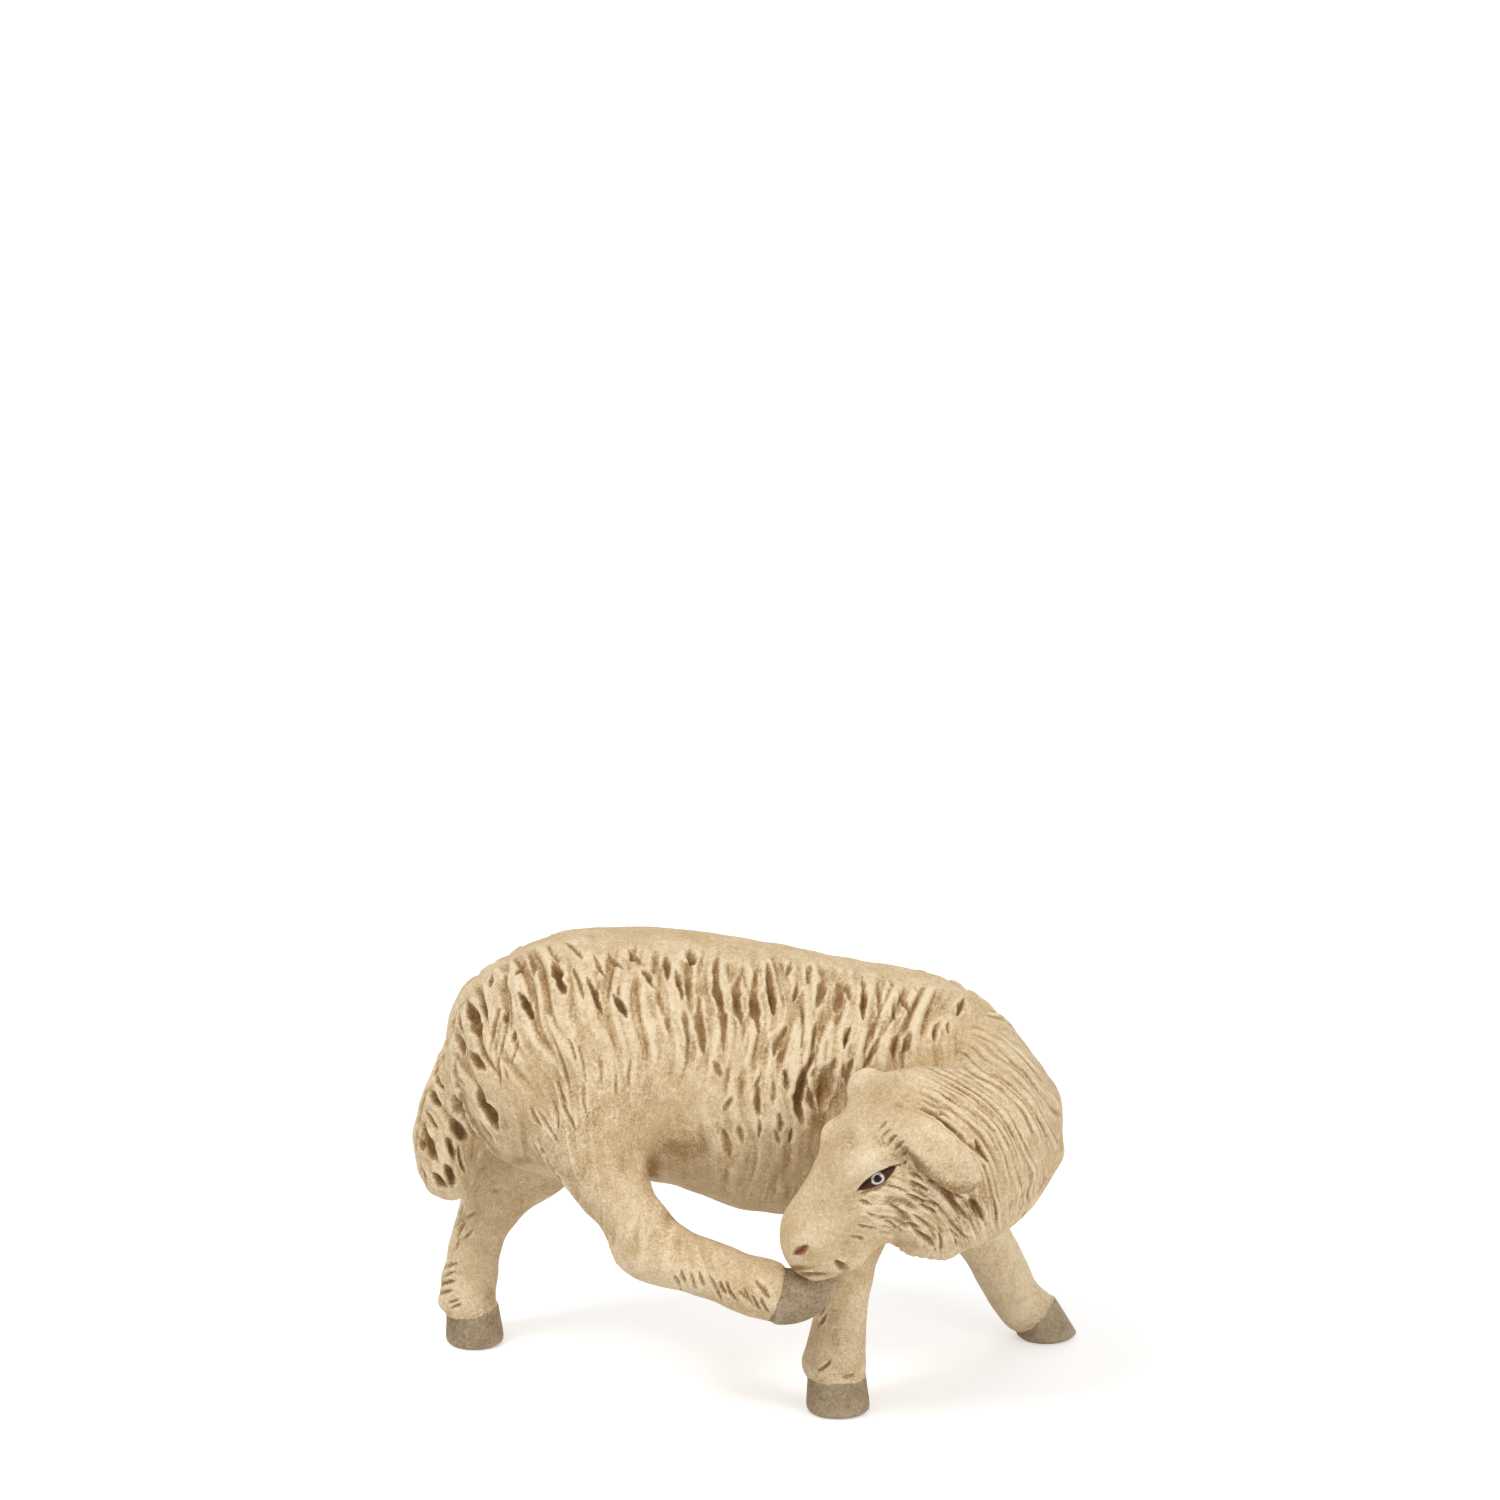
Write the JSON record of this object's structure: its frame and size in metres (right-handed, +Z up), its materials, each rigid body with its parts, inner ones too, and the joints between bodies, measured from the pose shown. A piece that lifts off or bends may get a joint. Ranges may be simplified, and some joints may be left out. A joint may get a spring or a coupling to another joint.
{
  "type": "sheep figurine",
  "caption": "Matte painted sheep figurine with a pressed, hollow body on bent wires, turning its head back to nibble its raised hind hoof.",
  "frame": {"origin": "middle of the bounding box's floor face, at the level of the standing soles", "axes": "+X the way the trunk faces, +Y the trunk's left side, +Z up; the head turns back over the trunk's right side, at -Y"},
  "size_m": [0.0706, 0.041, 0.049],
  "materials": {
    "wool": "matte ecru paint with a brown wash in the carved wool",
    "face": "matte ecru paint, smooth, with painted eyes and nostrils",
    "hoof": "matte grey-brown paint",
    "wire": "drawn steel wire"
  },
  "bodies": {
    "root": {"trunk_left_shell": "wool", "trunk_right_shell": "wool", "neck": "wool", "head": "face", "left_ear": "face", "right_ear": "face", "tail": "wool", "fore_left_leg": "wool", "fore_right_leg": "wool", "hind_left_leg": "wool", "hind_right_leg": "wool", "fore_left_hoof": "hoof", "fore_right_hoof": "hoof", "hind_left_hoof": "hoof", "hind_right_hoof": "hoof", "neck_wire": "wire", "fore_left_wire": "wire", "fore_right_wire": "wire", "hind_left_wire": "wire", "hind_right_wire": "wire"}
  },
  "joints": []
}
